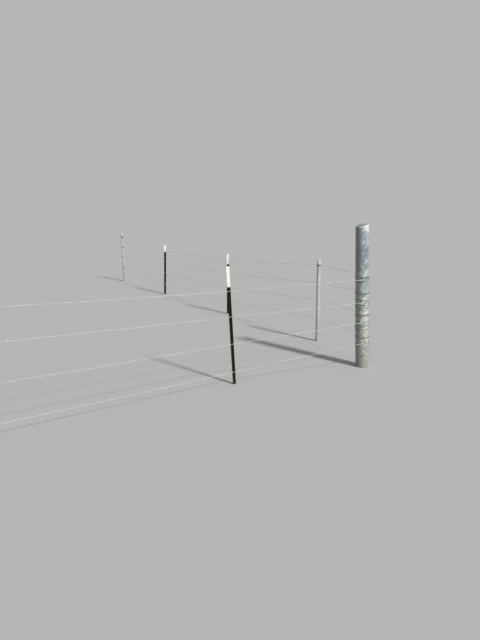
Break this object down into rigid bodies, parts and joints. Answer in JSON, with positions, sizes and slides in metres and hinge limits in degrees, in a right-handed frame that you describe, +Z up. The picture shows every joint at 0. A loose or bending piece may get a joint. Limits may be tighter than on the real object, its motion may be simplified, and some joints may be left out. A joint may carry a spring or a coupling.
{
  "type": "corner of a wire fence with steel posts",
  "caption": "Corner of a livestock wire fence: a large galvanised pipe corner post, strands of wire in two runs, T posts with clips and capped pipe posts.",
  "frame": {"origin": "middle of the corner post's foot, at ground level", "axes": "+Z up; the front run of strands heads along -X, the side run roughly along +Y"},
  "size_m": [4.1485, 8.3651, 1.5891],
  "materials": {
    "corner_galvanised": "weathered hot dip galvanising with spangle",
    "pipe_galvanised": "weathered galvanising",
    "concrete": "rough, weathered",
    "strand_wire": "dull zinc",
    "clip_wire": "bright zinc",
    "binding_wire": "dark annealed wire",
    "post_paint": "dark green enamel, white top",
    "cap": "satin, weathered"
  },
  "bodies": {
    "root": {"corner_pipe": "corner_galvanised", "corner_fill": "concrete", "front_strand_1": "strand_wire", "front_strand_2": "strand_wire", "front_strand_3": "strand_wire", "front_strand_4": "strand_wire", "side_strand_1": "strand_wire", "side_strand_2": "strand_wire", "side_strand_3": "strand_wire", "side_strand_4": "strand_wire", "front_corner_wraps": "strand_wire", "side_corner_wraps": "strand_wire", "front_corner_tails": "strand_wire", "side_corner_tails": "strand_wire", "front_line_post": "post_paint", "front_line_clips": "clip_wire", "front_end_pipe": "pipe_galvanised", "front_end_cap": "cap", "front_end_binding": "binding_wire", "front_end_wraps": "strand_wire", "front_end_tails": "strand_wire", "side_pipe": "pipe_galvanised", "side_pipe_cap": "cap", "side_pipe_binding": "binding_wire", "side_pipe_ties": "clip_wire", "side_line_post_1": "post_paint", "side_line_clips_1": "clip_wire", "side_line_post_2": "post_paint", "side_line_clips_2": "clip_wire", "side_end_pipe": "pipe_galvanised", "side_end_cap": "cap", "side_end_binding": "binding_wire", "side_end_wraps": "strand_wire", "side_end_tails": "strand_wire"}
  },
  "joints": []
}
